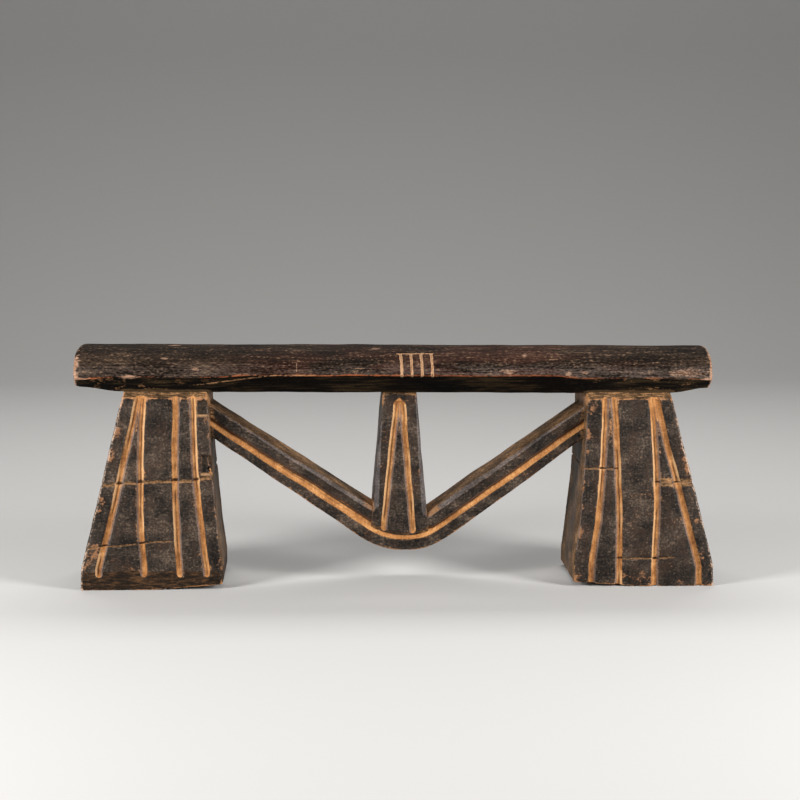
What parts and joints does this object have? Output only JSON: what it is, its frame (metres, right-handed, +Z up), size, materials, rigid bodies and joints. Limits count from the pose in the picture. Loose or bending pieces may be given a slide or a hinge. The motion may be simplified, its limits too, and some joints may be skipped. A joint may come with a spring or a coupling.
{
  "type": "carved headrest",
  "caption": "Carved wooden headrest: a long convex bar on splayed, fluted legs, stiffened by a V brace and a centre post, all cut from one billet.",
  "frame": {"origin": "middle of the headrest's box, on the surface it stands on", "axes": "+X along the bar to the right as pictured, -Y towards the pictured front, +Z up"},
  "size_m": [0.4024, 0.077, 0.1515],
  "materials": {
    "bar_wood": "handled dark brown patina with worn arrises",
    "leg_wood": "scorched black-brown, flutes gouged to bare ochre wood",
    "brace_wood": "scorched black-brown, flutes gouged to bare ochre wood"
  },
  "bodies": {
    "root": {"rest_bar": "bar_wood", "left_leg": "leg_wood", "right_leg": "leg_wood", "left_brace_arm": "brace_wood", "right_brace_arm": "brace_wood", "centre_post": "brace_wood"}
  },
  "joints": []
}
